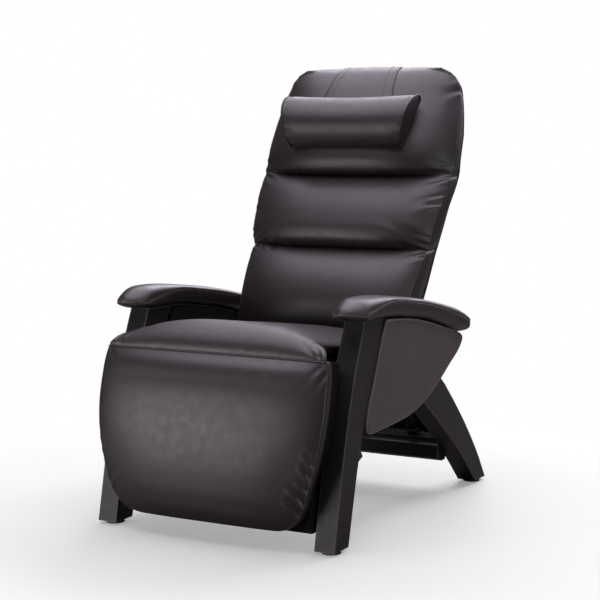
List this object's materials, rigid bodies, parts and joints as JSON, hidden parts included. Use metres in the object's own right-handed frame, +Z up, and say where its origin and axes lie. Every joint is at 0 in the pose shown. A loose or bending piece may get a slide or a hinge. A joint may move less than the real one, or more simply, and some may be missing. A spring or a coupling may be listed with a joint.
{
  "type": "zero gravity recliner",
  "caption": "Powered zero gravity recliner: padded seat, hinged backrest with bolster pillow and legrest that tilt together between dark wooden side frames with padded arms.",
  "frame": {"origin": "on the floor, under the middle of the chair's overall box", "axes": "+Z up, -Y the way the sitter faces, +X the sitter's left"},
  "size_m": [0.722, 1.021, 1.1947],
  "materials": {
    "leather": "smooth dark brown upholstery leather, semi-gloss",
    "panel_hide": "matte brown-grey upholstery hide",
    "black_wood": "black stained wood, satin lacquer",
    "black_cloth": "black lining cloth",
    "painted_steel": "black powder coat",
    "bright_steel": "bright zinc plate",
    "black_plastic": "fine textured black plastic",
    "rubber": "black rubber"
  },
  "bodies": {
    "base": {"left_front_leg": "black_wood", "right_front_leg": "black_wood", "left_rear_leg": "black_wood", "right_rear_leg": "black_wood", "left_arm_rail": "black_wood", "right_arm_rail": "black_wood", "left_outer_panel": "panel_hide", "right_outer_panel": "panel_hide", "left_inner_panel": "black_cloth", "right_inner_panel": "black_cloth", "left_arm_pad": "leather", "right_arm_pad": "leather", "left_front_glide": "rubber", "right_front_glide": "rubber", "left_rear_glide": "rubber", "right_rear_glide": "rubber", "front_crossbeam": "painted_steel", "rear_crossbeam": "black_wood", "rear_board": "black_wood", "left_pivot_bracket": "painted_steel", "right_pivot_bracket": "painted_steel", "actuator_bracket": "painted_steel", "left_link_bracket": "painted_steel", "right_link_bracket": "painted_steel", "power_supply": "black_plastic", "control_housing": "black_plastic"},
    "seat": {"left_seat_rail": "painted_steel", "right_seat_rail": "painted_steel", "seat_cross_tube": "painted_steel", "left_seat_hanger": "painted_steel", "right_seat_hanger": "painted_steel", "seat_deck": "black_cloth", "seat_cushion": "leather", "legrest_motor": "black_plastic"},
    "back": {"lumbar_cushion": "leather", "mid_cushion": "leather", "head_cushion": "leather", "back_cover": "leather", "left_back_post": "painted_steel", "right_back_post": "painted_steel", "upper_back_rail": "painted_steel", "pillow_strap": "leather"},
    "pillow": {"head_pillow": "leather"},
    "legrest": {"legrest_pad": "leather", "legrest_board": "black_cloth", "legrest_skirt": "black_cloth", "left_skirt_screw": "bright_steel", "right_skirt_screw": "bright_steel", "left_legrest_arm": "painted_steel", "right_legrest_arm": "painted_steel", "legrest_crank": "painted_steel"},
    "legrest_drive_rod": {"legrest_rod": "bright_steel"},
    "actuator": {"actuator_body": "black_plastic", "actuator_motor": "black_plastic"},
    "actuator_ram": {"actuator_rod": "bright_steel"},
    "left_link": {"left_back_link": "painted_steel"},
    "right_link": {"right_back_link": "painted_steel"},
    "recline_key": {"recline_button": "bright_steel"},
    "upright_key": {"upright_button": "bright_steel"}
  },
  "joints": [
    {"name": "recline", "type": "hinge", "parent": "base", "child": "seat", "pos_m": [0, -0.015, 0.468], "axis": [-1, 0, 0], "range_deg": [0, 20]},
    {"name": "backrest_hinge", "type": "hinge", "parent": "seat", "child": "back", "pos_m": [0, 0.095, 0.398], "axis": [-1, 0, 0], "range_deg": [0, 15]},
    {"name": "legrest_hinge", "type": "hinge", "parent": "seat", "child": "legrest", "pos_m": [0, -0.405, 0.455], "axis": [-1, 0, 0], "range_deg": [0, 60]},
    {"name": "legrest_drive", "type": "slide", "parent": "seat", "child": "legrest_drive_rod", "axis": [0, -0.9932, 0.1167], "range_m": [0, 0.062]},
    {"name": "actuator_swing", "type": "hinge", "parent": "base", "child": "actuator", "pos_m": [0, 0.315, 0.19], "axis": [-1, 0, 0], "range_deg": [0, 2.38]},
    {"name": "actuator_extend", "type": "slide", "parent": "actuator", "child": "actuator_ram", "axis": [0, -0.9405, 0.3399], "range_m": [0, 0.0499]},
    {"name": "left_link_swing", "type": "hinge", "parent": "base", "child": "left_link", "pos_m": [0.201, 0.315, 0.19], "axis": [-1, 0, 0], "range_deg": [-3.56, 0]},
    {"name": "right_link_swing", "type": "hinge", "parent": "base", "child": "right_link", "pos_m": [-0.201, 0.315, 0.19], "axis": [-1, 0, 0], "range_deg": [-3.56, 0]},
    {"name": "pillow_slide", "type": "slide", "parent": "back", "child": "pillow", "axis": [0, -0.4344, -0.9007], "range_m": [0, 0.04]},
    {"name": "recline_press", "type": "slide", "parent": "base", "child": "recline_key", "axis": [1, 0, 0], "range_m": [0, 0.002], "stiffness_N_per_m": 400},
    {"name": "upright_press", "type": "slide", "parent": "base", "child": "upright_key", "axis": [1, 0, 0], "range_m": [0, 0.002], "stiffness_N_per_m": 400}
  ],
  "couplings": [
    {"joint": "backrest_hinge", "follows": "recline", "ratio": 0.75},
    {"joint": "legrest_hinge", "follows": "recline", "ratio": 3},
    {"joint": "legrest_drive", "follows": "recline", "m_per_rad": 0.17762},
    {"joint": "actuator_swing", "follows": "recline", "ratio": 0.1188},
    {"joint": "actuator_extend", "follows": "recline", "m_per_rad": 0.14287},
    {"joint": "left_link_swing", "follows": "recline", "ratio": -0.178},
    {"joint": "right_link_swing", "follows": "recline", "ratio": -0.178}
  ]
}
